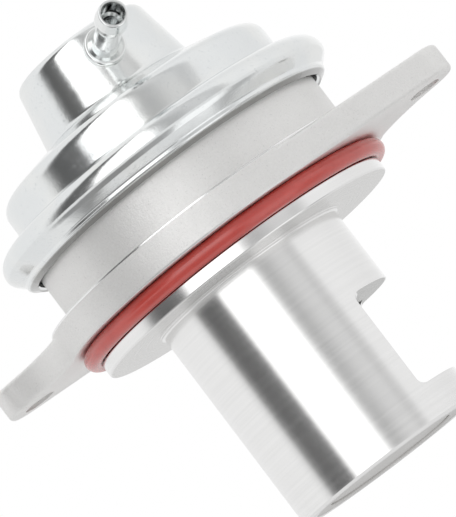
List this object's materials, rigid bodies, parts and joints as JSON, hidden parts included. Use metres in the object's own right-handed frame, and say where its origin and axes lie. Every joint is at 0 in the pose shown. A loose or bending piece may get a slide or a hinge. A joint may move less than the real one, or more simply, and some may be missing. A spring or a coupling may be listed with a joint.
{
  "type": "egr valve",
  "caption": "Vacuum-operated exhaust gas recirculation valve: drawn steel diaphragm can on a cast flange with two bolt ears, O-ring spigot and a barrel with a side window.",
  "frame": {"origin": "centre of the mounting face (underside of the flange) on the valve axis, midway between the two bolt holes", "axes": "+Z along the valve axis towards the vacuum can, +X through the two bolt holes"},
  "size_m": [0.11, 0.0746, 0.0987],
  "materials": {
    "zinc_steel": "bright zinc plated",
    "zinc_nipple": "bright zinc plated, turned",
    "cast_aluminium": "bead blasted die casting",
    "turned_aluminium": "fine turned, bright",
    "red_silicone": "satin",
    "gasket": "graphite sheet",
    "plain_steel": "plain",
    "bronze": "sintered",
    "graphite": "pressed graphite",
    "stainless": "ground",
    "plate_steel": "passivated zinc",
    "black_rubber": "fabric reinforced",
    "spring_steel": "oil tempered"
  },
  "bodies": {
    "housing": {"valve_body": "cast_aluminium", "barrel": "turned_aluminium", "vacuum_can": "zinc_steel", "hose_nipple": "zinc_nipple", "nipple_braze_ring": "zinc_nipple", "o_ring": "red_silicone", "barrel_gasket": "gasket", "barrel_screws": "plain_steel", "stem_guide_bush": "bronze", "stem_seal": "graphite", "seal_retainer": "plain_steel", "deposit_shield": "plain_steel", "valve_seat": "stainless", "spring_locator_cup": "plate_steel", "return_spring": "spring_steel", "diaphragm": "black_rubber"},
    "valve": {"valve_stem": "stainless", "poppet_head": "stainless", "diaphragm_lower_plate": "plate_steel", "diaphragm_upper_plate": "plate_steel", "stem_rivet_washer": "plain_steel"}
  },
  "joints": [
    {"name": "valve_lift", "type": "slide", "parent": "housing", "child": "valve", "axis": [0, 0, 1], "range_m": [0, 0.007], "stiffness_N_per_m": 3000, "springref_m": -0.008, "deforming": ["return_spring", "diaphragm"]}
  ]
}
